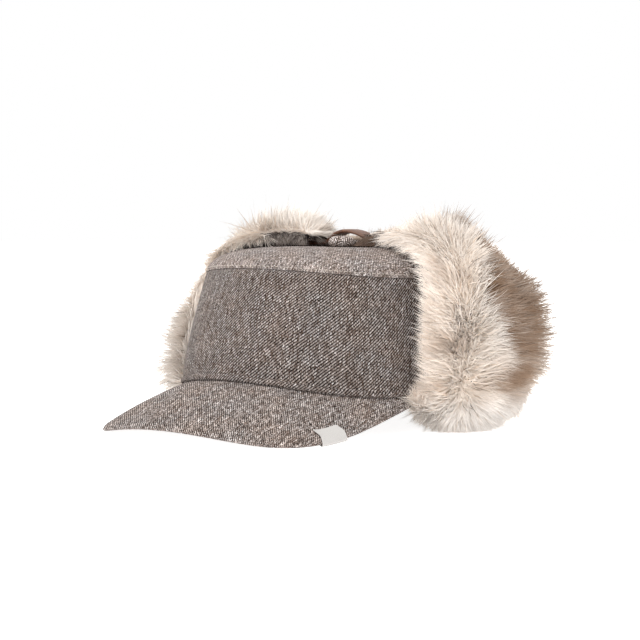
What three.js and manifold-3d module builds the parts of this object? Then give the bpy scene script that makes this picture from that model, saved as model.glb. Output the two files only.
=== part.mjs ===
// A tweed peaked cap whose fur-lined ear and neck flaps are folded up round the crown
// and fastened across its top by a short strap behind a covered button.
// Millimetres, +Z up. The wearer faces -Y, and +X is the wearer's left.
// The cap rests on z = 0, on the peak's drooping corners and on the fur's flattened fold.
import * as THREE from "three";
import { mergeVertices } from "three/addons/utils/BufferGeometryUtils.js";
import Module from "manifold-3d";

const wasm = await Module();
wasm.setup();

// Driving dimensions
const GAP = 0.3; // between pieces that are sewn or pressed together
const CLOTH = 2; // crown wall and top panel
const RIM = { halfWidth: 86, halfLength: 102 }; // crown's outer edge at the head opening, size 58
const CROWN = {
  topHalfWidth: 76, topHalfLength: 87, topCentreY: 3.6, // oval of the top seam
  bulge: 1.6, // how far the wall swells between rim and top seam
  seamHeight: 87.3, seamSlope: 0.02, seamCurve: 0.0011, // top seam is level behind and rises to the front
  plateauHeight: 105.7, plateauSlope: -0.025, shoulderPower: 6,
};
const PEAK = {
  seamHeight: 30.52, seamGap: 0.45, slope: 0.243, // height at the front of the rim, and fall to the front
  arch: 0.0039, droop: 0.0032, // fall with the square of the distance to the side and in front
  halfWidth: 82.3, reach: 152, squareness: 0.3, // plan outline, reach measured from the head's centre
  endAngle: 76, edgeAngle: 89.4, // degrees where the root and the edge meet
  thickness: 3.4, edgeRound: 1.1,
};
const FLAP = {
  thickness: 1.6,
  frontAngle: 79, frontSweep: 8, seamAngle: 108, // degrees round the head from the front
  earLength: 163, neckLength: 104, // along the section, from the rim
  tipSweep: 8, // how far back the tips of the ear flaps lean, towards the strap
};
const FUR = {
  edge: 3, // depth of the dense pile at a free edge
  edgeRun: 16, // length over which it thins to the edge
  lockLength: 25, lockDepth: 6,
  clear: 0.25, // between the locks and the flap's cloth
};
const FRINGE = { // locks that fall forward from the ear flaps' front edges, over the crown
  locks: 8, fromRun: 13, toRun: 116, // places along the flap's section
  inPile: 0.55, rooted: 4, // start: share of the pile's depth, and how far behind the edge
  reach: 23, width: 10.5, depth: 6, stray: 5, // stray: how far a tip ends above or below its root
  offCrown: 2.5, offPeak: 9, // how far out from the crown the tips end, above the peak and beside it
  beside: 30, above: 46, // heights up to which a tip is beside the peak, and from which it is above
};
const BUTTON = { radius: 8, height: 6.6 };
const STRAP = { thickness: 2.2, frontY: 11.6, backY: 24 };
const LABEL = { angleFrom: 70.4, angleTo: 78.2, depth: 6.8, thickness: 0.6 };

// Section of a folded-up flap: its face towards the crown, as the distance out from the rim and the height
const FLAP_SECTION = [
  { out: -1, z: 21.6 }, { out: 0.6, z: 19 }, { out: 4.4, z: 17.4 }, { out: 8, z: 20 },
  { out: 9.6, z: 33 }, { out: 9.5, z: 50 }, { out: 7.5, z: 68 }, { out: 3.5, z: 84 },
  { out: -3, z: 96 }, { out: -11.5, z: 104.8 }, { out: -24, z: 108.8 }, { out: -42, z: 109.6 },
  { out: -64, z: 109 },
];
// Outside of the dense pile over that section, by the run along the flap from the rim. The fold is
// pressed flat where the cap rests.
const PILE_SECTION = [
  { run: 0, out: -2.8, z: 19.8 }, { run: 3, out: -3.2, z: 10 }, { run: 6, out: -1, z: 2.5 },
  { run: 9, out: 3, z: 0 }, { run: 12, out: 12.5, z: 0 }, { run: 18, out: 20.5, z: 6.5 },
  { run: 28, out: 25, z: 20 }, { run: 42, out: 27.5, z: 36 }, { run: 58, out: 27, z: 54 },
  { run: 74, out: 24, z: 70 }, { run: 90, out: 18.5, z: 86 }, { run: 106, out: 10, z: 99 },
  { run: 120, out: -1, z: 109.5 }, { run: 134, out: -13, z: 117 }, { run: 148, out: -27, z: 120.5 },
  { run: 160, out: -41, z: 120.5 }, { run: 172, out: -54, z: 117 },
];
// Crest line of the strap, which is held under the tips of the ear flaps and arches up between them
const STRAP_CREST = [
  { x: -36, z: 107.9 }, { x: -20, z: 107.9 }, { x: -17, z: 110.2 }, { x: -13, z: 113.4 },
  { x: -8, z: 115.1 }, { x: -2, z: 115.2 }, { x: 4, z: 114 }, { x: 11, z: 111.2 },
  { x: 16, z: 109 }, { x: 20, z: 107.9 }, { x: 36, z: 107.9 },
];

const radians = THREE.MathUtils.degToRad;
const mix = THREE.MathUtils.lerp;
const smooth = THREE.MathUtils.smoothstep;
const steps = (n) => Array.from({ length: n + 1 }, (_, i) => i / n);
// A repeatable number from 0 to 1 for each whole number
const scatter = (n) => Math.abs(Math.sin(n * 12.9898 + 4.1414) * 43758.5453) % 1;

// Two grids of points, the outer one seen from outside, joined into one closed wall.
// With wrap the rows go right round, and a row that shrinks to a point closes a dome.
function wall(outer, inner, wrap = false) {
  const rows = outer.length;
  const columns = outer[0].length;
  const points = [...outer.flat(), ...inner.flat()];
  const at = (side, i, j) => side * rows * columns + (i % rows) * columns + j;
  const faces = [];
  const quad = (a, b, c, d) => faces.push(a, b, c, a, c, d);
  const last = wrap ? rows : rows - 1;
  for (let i = 0; i < last; i++) {
    for (let j = 0; j < columns - 1; j++) {
      quad(at(0, i, j), at(0, i + 1, j), at(0, i + 1, j + 1), at(0, i, j + 1));
      quad(at(1, i, j), at(1, i, j + 1), at(1, i + 1, j + 1), at(1, i + 1, j));
    }
    quad(at(1, i, 0), at(1, i + 1, 0), at(0, i + 1, 0), at(0, i, 0));
    quad(at(0, i, columns - 1), at(0, i + 1, columns - 1), at(1, i + 1, columns - 1), at(1, i, columns - 1));
  }
  for (let j = 0; j < columns - 1 && !wrap; j++) {
    quad(at(0, 0, j), at(0, 0, j + 1), at(1, 0, j + 1), at(1, 0, j));
    quad(at(1, rows - 1, j), at(1, rows - 1, j + 1), at(0, rows - 1, j + 1), at(0, rows - 1, j));
  }
  return closed(points, faces);
}

// An indexed geometry with shared points merged and faces of no width left out
function closed(points, faces) {
  const raw = new THREE.BufferGeometry().setFromPoints(points);
  raw.setIndex(faces);
  const merged = mergeVertices(raw, 1e-3);
  const kept = [];
  for (let i = 0; i < merged.index.count; i += 3) {
    const [a, b, c] = [0, 1, 2].map((k) => merged.index.getX(i + k));
    if (a !== b && b !== c && a !== c) kept.push(a, b, c);
  }
  merged.setIndex(kept);
  return merged;
}

function solid(geometry) {
  const plain = geometry.clone();
  plain.deleteAttribute("normal");
  plain.deleteAttribute("uv");
  const merged = mergeVertices(plain, 1e-3);
  return new wasm.Manifold(new wasm.Mesh({
    numProp: 3,
    vertProperties: merged.attributes.position.array,
    triVerts: new Uint32Array(merged.index.array),
  }));
}

function geometryOf(made) {
  const mesh = made.getMesh();
  const geometry = new THREE.BufferGeometry();
  geometry.setAttribute("position", new THREE.BufferAttribute(mesh.vertProperties, 3));
  geometry.setIndex(new THREE.BufferAttribute(mesh.triVerts, 1));
  return geometry;
}

// Crown

const rimPoint = (angle, inset = 0) => new THREE.Vector2(
  (RIM.halfWidth - inset) * Math.sin(radians(angle)),
  -(RIM.halfLength - inset) * Math.cos(radians(angle)),
);

function peakTop(x, y) {
  const behind = y + RIM.halfLength; // how far behind the front of the rim
  const fall = PEAK.arch * x ** 2 + PEAK.droop * Math.min(behind, 0) ** 2;
  return PEAK.seamHeight + PEAK.slope * behind - fall;
}

function rimHeight(angle, inset = 0) {
  const turn = Math.abs(((angle + 540) % 360) - 180); // 0 at the front, 180 at the back
  const p = rimPoint(Math.min(turn, PEAK.endAngle), inset);
  return peakTop(p.x, p.y);
}

const topPoint = (angle, inset = 0) => new THREE.Vector2(
  (CROWN.topHalfWidth - inset) * Math.sin(radians(angle)),
  CROWN.topCentreY - (CROWN.topHalfLength - inset) * Math.cos(radians(angle)),
);

function topSeamHeight(y) {
  const ahead = Math.min(y, 0);
  return CROWN.seamHeight + CROWN.seamSlope * ahead + CROWN.seamCurve * ahead ** 2;
}

// How much the wall swells at a share of its height
const swell = (up) => 1 + (CROWN.bulge * Math.sin(Math.PI * up)) / RIM.halfWidth;

function crownWall() {
  const surface = (inset) => steps(44).slice(0, -1).map((turn) => steps(4).map((up) => {
    const angle = 360 * turn;
    const low = rimPoint(angle, inset);
    const high = topPoint(angle, inset);
    const p = low.clone().lerp(high, up).multiplyScalar(swell(up));
    return new THREE.Vector3(p.x, p.y, mix(rimHeight(angle, inset), topSeamHeight(topPoint(angle).y), up));
  }));
  return wall(surface(0), surface(CLOTH), true);
}

// Height of the top panel's outside where it is `share` of the way out from the middle to the seam
function topPanelHeight(share, angle) {
  const rise = Math.sqrt(1 - share ** CROWN.shoulderPower);
  const y = CROWN.topCentreY + (topPoint(angle).y - CROWN.topCentreY) * share;
  return mix(topSeamHeight(y) + GAP, CROWN.plateauHeight + CROWN.plateauSlope * y, rise);
}

function crownTop() {
  const shares = [1, 0.985, 0.95, 0.885, 0.78, 0.55, 0];
  const surface = (inset) => steps(42).slice(0, -1).map((turn) => shares.map((share) => {
    const angle = 360 * turn;
    const p = topPoint(angle, inset);
    const y = CROWN.topCentreY + (p.y - CROWN.topCentreY) * share;
    const sunk = inset * Math.sqrt(1 - share ** CROWN.shoulderPower);
    return new THREE.Vector3(p.x * share, y, topPanelHeight(share, angle) - sunk);
  }));
  return wall(surface(0), surface(CLOTH), true);
}

// Peak

// Plan of the peak's edge, for u from -1 at the wearer's right to 1 at the left
function peakEdge(angle) {
  const forward = Math.cos(radians(angle)) ** PEAK.squareness;
  return new THREE.Vector2(PEAK.halfWidth * Math.sin(radians(angle)), -PEAK.reach * forward);
}

function peakEdgeNormal(angle) {
  const step = 0.2;
  const along = peakEdge(angle + step).sub(peakEdge(angle - step));
  return new THREE.Vector2(-along.y, along.x).normalize().negate();
}

function peak() {
  const t = PEAK.thickness;
  const r = PEAK.edgeRound;
  // how far along from root to edge, how far past the edge, and how deep in the thickness on the two faces
  const sections = [
    { along: 0, past: 0, top: 0, under: t }, { along: 0.22, past: 0, top: 0, under: t },
    { along: 0.46, past: 0, top: 0, under: t }, { along: 0.7, past: 0, top: 0, under: t },
    { along: 0.9, past: 0, top: 0, under: t }, { along: 1, past: -r * 0.4, top: 0, under: t },
    { along: 1, past: r * 0.6, top: t * 0.13, under: t * 0.87 },
    { along: 1, past: r, top: t * 0.34, under: t * 0.66 },
  ];
  const surface = (face) => steps(28).map((part) => {
    const u = 2 * part - 1;
    const edgeAngle = PEAK.edgeAngle * Math.sin((u * Math.PI) / 2);
    const root = rimPoint(PEAK.endAngle * u, CLOTH);
    const edge = peakEdge(edgeAngle);
    const out = peakEdgeNormal(edgeAngle);
    return sections.map((section) => {
      const p = root.clone().lerp(edge, section.along).addScaledVector(out, section.past);
      return new THREE.Vector3(p.x, p.y, peakTop(p.x, p.y) - PEAK.seamGap - section[face]);
    }).reverse();
  });
  return wall(surface("top"), surface("under"));
}

// A bare woven tab folded round the peak's edge
function label() {
  const t = PEAK.thickness;
  const folds = [
    { past: -LABEL.depth, down: 0, way: -1 }, { past: -LABEL.depth / 2, down: 0, way: -1 },
    { past: 0.4, down: 0, way: -1 }, { past: PEAK.edgeRound + GAP, down: t * 0.25, way: 0 },
    { past: PEAK.edgeRound + GAP, down: t * 0.75, way: 0 }, { past: 0.4, down: t, way: 1 },
    { past: -LABEL.depth, down: t, way: 1 },
  ];
  const surface = (lift) => steps(4).map((part) => {
    const angle = mix(LABEL.angleFrom, LABEL.angleTo, part);
    const edge = peakEdge(angle);
    const out = peakEdgeNormal(angle);
    return folds.map((fold) => {
      const outward = fold.past + (fold.way === 0 ? lift - GAP : 0);
      const p = edge.clone().addScaledVector(out, outward);
      return new THREE.Vector3(p.x, p.y, peakTop(p.x, p.y) - PEAK.seamGap - fold.down - fold.way * lift);
    }).reverse();
  });
  return wall(surface(GAP + LABEL.thickness), surface(GAP));
}

// Flaps

const flapCurve = new THREE.CatmullRomCurve3(
  FLAP_SECTION.map((p) => new THREE.Vector3(p.out, 0, p.z)), false, "centripetal",
);
const flapLength = flapCurve.getLength();

// Which way the rim faces at an angle round the head
function rimNormal(angle) {
  const p = rimPoint(angle);
  return new THREE.Vector2(p.x / RIM.halfWidth ** 2, p.y / RIM.halfLength ** 2).normalize();
}

const tipSweep = (run) => FLAP.tipSweep * smooth(run, 100, 150);

// The point `run` millimetres along a flap's section and `depth` out from its face towards the crown,
// with the directions away from the crown, along the section and round the head
function onFlap(angle, run, depth) {
  const u = THREE.MathUtils.clamp(run / flapLength, 0, 1);
  const p = flapCurve.getPointAt(u);
  const along = flapCurve.getTangentAt(u);
  const rim = rimPoint(angle);
  const out = rimNormal(angle);
  const spread = (across, z) => new THREE.Vector3(out.x * across, out.y * across, z);
  const away = spread(along.z, -along.x);
  const place = spread(p.x, p.z).add(new THREE.Vector3(rim.x, rim.y + tipSweep(run), 0));
  place.addScaledVector(away, depth);
  return { place, away, up: spread(along.x, along.z), round: new THREE.Vector3(-out.y, out.x, 0) };
}

// Where the free edge runs: the ear flaps end in round tips on the crown, the neck flap in a low arch
const earRun = (angle) => {
  const middle = (FLAP.frontAngle + FLAP.frontSweep + FLAP.seamAngle) / 2;
  const aside = Math.abs(angle - middle) / (FLAP.seamAngle - middle);
  return FLAP.earLength - 9 * Math.min(1, aside) ** 4;
};
const neckRun = (angle) => FLAP.neckLength - 8 * Math.cos(radians(2 * angle - 360)) * 0.5 + 4;
const SEAM_GAP_ANGLE = 0.09; // degrees, half of the gap at the seams between the panels
const PANELS = {
  ear: {
    from: (run) => FLAP.frontAngle + FLAP.frontSweep * smooth(run, 30, 120),
    to: FLAP.seamAngle - SEAM_GAP_ANGLE, run: earRun, free: true,
    columns: 6, rowsTo: 150, lockColumns: 3, lockRows: 7, lockWidth: 10.5,
  },
  neck: {
    from: () => FLAP.seamAngle + SEAM_GAP_ANGLE,
    to: 360 - FLAP.seamAngle - SEAM_GAP_ANGLE, run: neckRun, free: false,
    columns: 14, rowsTo: 91, lockColumns: 12, lockRows: 4, lockWidth: 16,
  },
};

// The angle round the head `across` a panel, whose front edge leans back as it rises, and where its free
// edge is there
function sweep(panel, across, up) {
  const end = panel.run(mix(panel.from(0), panel.to, across));
  const run = up * end;
  return { angle: mix(panel.from(run), panel.to, across), run, end };
}

// A grid over a panel: columns across it, each with the section's rows up to the free edge
function panelGrid(panel, pointAt) {
  return steps(panel.columns).map((across) => {
    const { end } = sweep(panel, across, 0);
    const rows = PILE_SECTION.map((row) => row.run).filter((run) => run < panel.rowsTo);
    return [...rows, end - 5, end - 0.01].map((run) => {
      const { angle } = sweep(panel, across, run / end);
      return pointAt(angle, run, end);
    });
  });
}

function flapCloth(panel) {
  const surface = (depth) => panelGrid(panel, (angle, run) => onFlap(angle, run, depth).place);
  return wall(surface(FLAP.thickness), surface(0));
}

const rested = (p, least = 0) => new THREE.Vector3(p.x, p.y, Math.max(p.z, least));
const rounding = (share) => Math.sqrt(1 - (1 - THREE.MathUtils.clamp(share, 0, 1)) ** 2);
const pileRoot = FLAP.thickness + GAP;

// Row of the pile's section at a run along the flap, found between the rows of the table
function pileRow(run) {
  const next = Math.max(1, PILE_SECTION.findIndex((row) => row.run >= run - 1e-6));
  const [a, b] = [PILE_SECTION[next - 1], PILE_SECTION[next]];
  const share = (run - a.run) / (b.run - a.run);
  return { out: mix(a.out, b.out, share), z: mix(a.z, b.z, share) };
}

// Outside of the dense pile, which thins towards the free edges
function pilePoint(panel, angle, run, end) {
  const row = pileRow(run);
  const rim = rimPoint(angle);
  const out = rimNormal(angle);
  const full = new THREE.Vector3(rim.x + out.x * row.out, rim.y + out.y * row.out + tipSweep(run), row.z);
  const thin = rested(onFlap(angle, run, pileRoot + FUR.edge).place);
  const toTip = (end - run) / FUR.edgeRun;
  const toFront = ((angle - panel.from(run)) * RIM.halfLength * Math.PI) / 180 / FUR.edgeRun;
  return thin.lerp(full, rounding(toTip) * (panel.free ? mix(0.45, 1, rounding(toFront)) : 1));
}

function pileCore(panel) {
  const outside = panelGrid(panel, (angle, run, end) => pilePoint(panel, angle, run, end));
  const inside = panelGrid(panel, (angle, run) => onFlap(angle, run, pileRoot).place);
  return wall(outside, inside);
}

// The room that the flap's cloth takes, and what lies between it and the crown, kept clear of fur
function clothRoom(panel) {
  const wider = {
    ...panel,
    from: (run) => panel.from(run) - THREE.MathUtils.radToDeg(FUR.clear / RIM.halfLength),
    run: (angle) => panel.run(angle) + FUR.clear,
  };
  const surface = (depth) => panelGrid(wider, (angle, run) => onFlap(angle, run, depth).place);
  return solid(wall(surface(FLAP.thickness + FUR.clear), surface(-3)));
}

// One flat four-sided tuft that starts off in a direction and runs from its root to a pointed tip
function tuft({ root, middle, tip, start, away, width, depth }) {
  const side = new THREE.Vector3().crossVectors(start, away).normalize();
  const back = new THREE.Vector3().crossVectors(start, side);
  const ring = (centre, size) => steps(4).slice(0, -1).map((turn) => {
    const bearing = 2 * Math.PI * turn;
    return rested(centre.clone()
      .addScaledVector(side, size * width * Math.cos(bearing))
      .addScaledVector(back, size * depth * Math.sin(bearing)), 0.5);
  });
  const points = [...ring(root, 0.9), ...ring(middle, 0.8), rested(tip, 0.5)];
  const faces = [0, 2, 1, 0, 3, 2];
  for (let k = 0; k < 4; k++) {
    const next = (k + 1) % 4;
    faces.push(k, next, 4 + next, k, 4 + next, 4 + k, 4 + k, 4 + next, 8);
  }
  return solid(closed(points, faces));
}

// A lock that lies over along the pile
function lock(panel, across, up, seed) {
  const { angle, run, end } = sweep(panel, across, up);
  const place = pilePoint(panel, angle, run, end);
  const { place: cloth, away, up: rise, round } = onFlap(angle, run, pileRoot);
  const full = Math.min(1, place.distanceTo(cloth) / 14); // smaller where the pile is thin
  const rising = mix(-0.8, 0.9, smooth(up, 0.1, 0.55)) + 0.3 * (scatter(seed + 7) - 0.5);
  const parting = panel.free ? mix(-0.6, 0.35, smooth(across, 0, 0.8)) : 0;
  const backward = parting + 0.5 * (scatter(seed + 3) - 0.5);
  const lie = rise.multiplyScalar(rising).addScaledVector(round, backward).normalize();
  const start = lie.clone().addScaledVector(away, 0.75).normalize();
  const length = FUR.lockLength * full * (0.85 + 0.3 * scatter(seed + 11));
  const root = place.clone().addScaledVector(start, -0.35 * length).addScaledVector(away, -1.5);
  const middle = place.clone().addScaledVector(start, 0.3 * length);
  const tip = middle.clone().addScaledVector(lie, 0.75 * length).addScaledVector(away, 0.12 * length);
  return tuft({ root, middle, tip, start, away, width: full * panel.lockWidth, depth: full * FUR.lockDepth });
}

// A point beside the crown's wall at a height
function besideCrown(angle, z, off) {
  const low = rimHeight(angle);
  const up = THREE.MathUtils.clamp((z - low) / (topSeamHeight(topPoint(angle).y) - low), 0, 1);
  const p = rimPoint(angle).lerp(topPoint(angle), up).multiplyScalar(swell(up));
  p.addScaledVector(rimNormal(angle), off);
  return new THREE.Vector3(p.x, p.y, z);
}

// A lock that falls forward from the front edge of an ear flap, over the crown or beside the peak
function fringeLock(panel, share, seed) {
  const run = mix(FRINGE.fromRun, FRINGE.toRun, share);
  const angle = panel.from(run);
  const { end } = sweep(panel, 0, 0);
  const { place: cloth, away, round } = onFlap(angle, run, pileRoot);
  const centre = cloth.clone().lerp(pilePoint(panel, angle, run, end), FRINGE.inPile);
  const reach = FRINGE.reach * (0.8 + 0.3 * scatter(seed + 5));
  const ahead = THREE.MathUtils.radToDeg(reach / RIM.halfLength);
  const off = mix(FRINGE.offPeak, FRINGE.offCrown, smooth(centre.z, FRINGE.beside, FRINGE.above));
  const tip = besideCrown(angle - ahead, centre.z + FRINGE.stray * (2 * scatter(seed) - 1), off);
  const start = round.clone().negate();
  const root = centre.clone().addScaledVector(start, -FRINGE.rooted);
  const middle = centre.clone().addScaledVector(start, 0.4 * reach);
  return tuft({ root, middle, tip, start, away, width: FRINGE.width, depth: FRINGE.depth });
}

// Everything on one side of the upright plane through the seam at this angle, below a height
function beyondSeam(angle, side, inward, height) {
  const size = 200;
  const box = new THREE.BoxGeometry(size, size, height + 20);
  box.translate(size / 2 - inward, (side * size) / 2, height / 2 - 10);
  const rim = rimPoint(angle);
  const out = rimNormal(angle);
  box.rotateZ(Math.atan2(out.y, out.x));
  box.translate(rim.x, rim.y, 0);
  return solid(box);
}

function fur(panel) {
  let made = solid(pileCore(panel));
  const first = panel.free ? 1 : 0; // the fringe takes the place of an ear flap's foremost column
  for (let column = first; column < panel.lockColumns; column++) {
    for (let row = 0; row < panel.lockRows; row++) {
      const seed = column * 31 + row * 17;
      const across = (column + 0.5 + (row % 2 ? 0.22 : -0.22)) / panel.lockColumns;
      const up = mix(0.1, 0.98, (row + 0.4 * scatter(seed)) / (panel.lockRows - 0.6));
      made = made.add(lock(panel, across, up, seed));
    }
  }
  for (let k = 0; k < FRINGE.locks && panel.free; k++) {
    made = made.add(fringeLock(panel, k / (FRINGE.locks - 1), k * 13));
  }
  return made.subtract(clothRoom(panel));
}

const mirrored = (made) => made.mirror([1, 0, 0]);

function earFur() {
  return fur(PANELS.ear).subtract(beyondSeam(PANELS.ear.to, 1, 22, 121));
}

function neckFur() {
  const left = beyondSeam(PANELS.neck.from(0), -1, 40, 150);
  return fur(PANELS.neck).subtract(left).subtract(mirrored(left));
}

// Fastening on top

function button() {
  const { radius, height } = BUTTON;
  const base = CROWN.plateauHeight + CROWN.plateauSlope * CROWN.topCentreY + GAP + 0.3;
  const profile = [
    [0, 0], [radius * 0.82, 0], [radius * 0.97, 0.9], [radius, 2], [radius * 0.94, height * 0.52],
    [radius * 0.76, height * 0.78], [radius * 0.45, height * 0.95], [0, height],
  ].map(([r, z]) => new THREE.Vector2(r, z));
  const geometry = new THREE.LatheGeometry(profile, 20);
  geometry.rotateX(Math.PI / 2);
  geometry.translate(0, CROWN.topCentreY, base);
  return geometryOf(solid(geometry));
}

function strap() {
  const surface = (depth) => STRAP_CREST.map(({ x, z }) => (
    [STRAP.frontY, STRAP.backY].map((y) => new THREE.Vector3(x, y, z - depth))
  ));
  return wall(surface(0), surface(STRAP.thickness));
}

// Materials
const material = (color, roughness) => new THREE.MeshStandardMaterial({ color, roughness, metalness: 0 });
const tweed = material("#7b706b", 0.95);
const creamFur = material("#dcc9b8", 1);
const brownFur = material("#b89c84", 1);
const leather = material("#5a3a2a", 0.6);
const labelCloth = material("#dcd8d3", 0.8);

const cap = new THREE.Group();
function add(name, geometry, finish) {
  geometry.computeVertexNormals();
  const mesh = new THREE.Mesh(geometry, finish);
  mesh.name = name;
  cap.add(mesh);
  return mesh;
}

add("crown_wall", crownWall(), tweed);
add("crown_top", crownTop(), tweed);
add("peak", peak(), tweed);
add("label_tab", label(), labelCloth);
add("top_button", button(), tweed);
add("flap_strap", strap(), leather);
const earCloth = solid(flapCloth(PANELS.ear));
const earPile = earFur();
add("ear_flap_left", geometryOf(earCloth), tweed);
add("ear_flap_right", geometryOf(mirrored(earCloth)), tweed);
add("neck_flap", flapCloth(PANELS.neck), tweed);
add("ear_fur_left", geometryOf(earPile), creamFur);
add("ear_fur_right", geometryOf(mirrored(earPile)), creamFur);
add("neck_fur", geometryOf(neckFur()), brownFur);

// The part's origin is the middle of its footprint, on the surface that it rests on.
const bounds = new THREE.Box3().setFromObject(cap);
const middle = bounds.getCenter(new THREE.Vector3());
cap.position.set(-middle.x, -middle.y, -bounds.min.z);

export default cap;
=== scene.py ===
"""An earflap cap of tweed with deep fur flaps folded up round its crown, dressed over its CAD frame.

Row frame: metres, +Z up, the wearer faces -Y. Most shapes are worked out in the hat's own frame, in
millimetres from the middle of the head opening, and moved by SHIFT when they are made.
"""
import math

import bmesh
import bpy
import numpy as np
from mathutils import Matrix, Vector
from mathutils.kdtree import KDTree


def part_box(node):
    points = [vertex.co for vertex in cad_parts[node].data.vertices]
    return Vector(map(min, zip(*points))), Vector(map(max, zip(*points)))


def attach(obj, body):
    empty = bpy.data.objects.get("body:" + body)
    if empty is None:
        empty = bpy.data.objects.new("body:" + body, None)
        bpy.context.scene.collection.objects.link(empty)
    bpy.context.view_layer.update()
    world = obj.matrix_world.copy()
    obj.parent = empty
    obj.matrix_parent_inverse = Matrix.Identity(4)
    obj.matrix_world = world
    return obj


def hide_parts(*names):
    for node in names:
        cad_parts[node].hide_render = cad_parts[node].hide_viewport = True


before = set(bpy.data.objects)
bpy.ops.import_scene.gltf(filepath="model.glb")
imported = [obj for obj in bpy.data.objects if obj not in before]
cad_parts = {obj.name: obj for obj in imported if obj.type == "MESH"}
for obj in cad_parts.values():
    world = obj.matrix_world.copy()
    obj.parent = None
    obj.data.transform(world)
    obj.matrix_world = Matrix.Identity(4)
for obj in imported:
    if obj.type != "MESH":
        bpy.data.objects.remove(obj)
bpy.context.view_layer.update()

MM = 0.001
low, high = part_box("crown_wall")
SHIFT = np.array([0.0, (low.y + high.y) / 2, 0.0])
MIRROR = np.array([-1.0, 1.0, 1.0])

# Sizes, in millimetres, with angles in degrees from the front
RIM_X, RIM_Y = 86.0, 102.0  # half width and half length of the head opening, outside the cloth
TOP_X, TOP_Y, TOP_CY = 76.0, 87.0, 3.6  # oval of the top seam, and how far back its middle lies
WALL, FLAP_THICK, PEAK_THICK = 2.0, 1.6, 3.4
WALL_SWELL = 1.6  # how far the crown's wall bulges at half its height
GAP = 0.3  # between the crown's wall and its top, and between a flap's cloth and its pile
PEAK_Z, PEAK_SLOPE, PEAK_ARCH, PEAK_DROOP = 30.52, 0.243, 0.0039, 0.0032
PEAK_X, PEAK_REACH, PEAK_SQUARE, PEAK_SUNK = 82.3, 152.0, 0.3, 0.45
ROOT_END = 76.0  # where the peak's root ends
SEAM_Z, PLATEAU, PLATEAU_SLOPE, SHOULDER = 87.3, 104.6, -0.025, 3.8
BUTTON_BASE = 104.8  # height of the button's foot
STRAP_FRONT, STRAP_BACK = 11.6, 24.0  # the strap's two edges, counted back from the middle
EAR_FRONT, EAR_LEAN, SEAM = 79.0, 8.0, 108.0  # an ear flap's front, how far it leans back, and its back
EAR_LENGTH, NECK_LENGTH, TIP_SWEEP = 163.0, 104.0, 8.0
PILE_EDGE, PILE_ROUND = 3.0, 16.0  # depth of the pile at a free edge, and how far in it is full
FLAP_PATH = np.array([  # distance out from the rim, height
    (-1, 21.6), (0.6, 19), (4.4, 17.4), (8, 20), (9.6, 33), (9.5, 50), (7.5, 68), (3.5, 84),
    (-3, 96), (-11.5, 104.8), (-24, 108.8), (-42, 109.6), (-64, 109)], float)
PILE = np.array([  # run along the flap, distance out from the rim, height
    (0, -2.8, 19.8), (3, -3.2, 10), (6, -1, 2.5), (9, 3, 0), (12, 12.5, 0), (18, 20.5, 6.5), (28, 25, 20),
    (42, 27.5, 36), (58, 27, 54), (74, 24, 70), (90, 18.5, 86), (106, 10, 99), (120, -1, 109.5),
    (134, -13, 117), (148, -27, 120.5), (160, -41, 120.5), (172, -54, 117)], float)


def smooth(x, a, b):
    t = np.clip((np.asarray(x, float) - a) / (b - a), 0, 1)
    return t * t * (3 - 2 * t)


def mix(a, b, t):
    return a + (b - a) * t


def look_up(x, table, column=1):
    """Values between the rows of a table, whose first column goes up."""
    return np.interp(x, table[:, 0], table[:, column])


def unit(v):
    return v / np.maximum(np.linalg.norm(v, axis=-1, keepdims=True), 1e-12)


def noise(p, seed=0):
    """Smooth value noise from -1 to 1 at points p, whose last axis holds 2 or 3 coordinates."""
    p = np.asarray(p, float)
    base = np.floor(p).astype(np.int64)
    f = p - base
    f = f * f * (3 - 2 * f)
    dims = p.shape[-1]
    total = np.zeros(p.shape[:-1])
    for corner in range(2 ** dims):
        bits = [(corner >> k) & 1 for k in range(dims)]
        h = np.full(p.shape[:-1], seed * 374761393 + 1013, np.int64)
        w = np.ones(p.shape[:-1])
        for k, bit in enumerate(bits):
            h = (h ^ ((base[..., k] + bit) * (73856093, 19349663, 83492791)[k])) * 1274126177 & 0x7FFFFFFF
            w = w * (f[..., k] if bit else 1 - f[..., k])
        h = (h ^ (h >> 13)) * 1103515245 & 0x7FFFFFFF
        total += w * ((h >> 7) % 65536 / 32767.5 - 1)
    return total


# Meshes

def add_object(name, data):
    ob = bpy.data.objects.new(name, data)
    bpy.context.scene.collection.objects.link(ob)
    return ob


def mesh_object(name, points, loops, counts, uvs=None, uv_name="UVMap"):
    """A smooth mesh from points in the hat's frame in millimetres. uvs holds one pair per corner."""
    mesh = bpy.data.meshes.new(name)
    pts = (np.asarray(points, float) * MM + SHIFT).astype(np.float32)
    mesh.vertices.add(len(pts))
    mesh.vertices.foreach_set("co", pts.reshape(-1))
    mesh.loops.add(len(loops))
    mesh.loops.foreach_set("vertex_index", loops.astype(np.int32))
    mesh.polygons.add(len(counts))
    starts = np.concatenate([[0], np.cumsum(counts)[:-1]]).astype(np.int32)
    mesh.polygons.foreach_set("loop_start", starts)
    mesh.polygons.foreach_set("use_smooth", np.ones(len(counts), bool))
    if uvs is not None:
        layer = mesh.uv_layers.new(name=uv_name)
        layer.data.foreach_set("uv", uvs.astype(np.float32).reshape(-1))
    mesh.update(calc_edges=True)
    return add_object(name, mesh)


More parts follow.
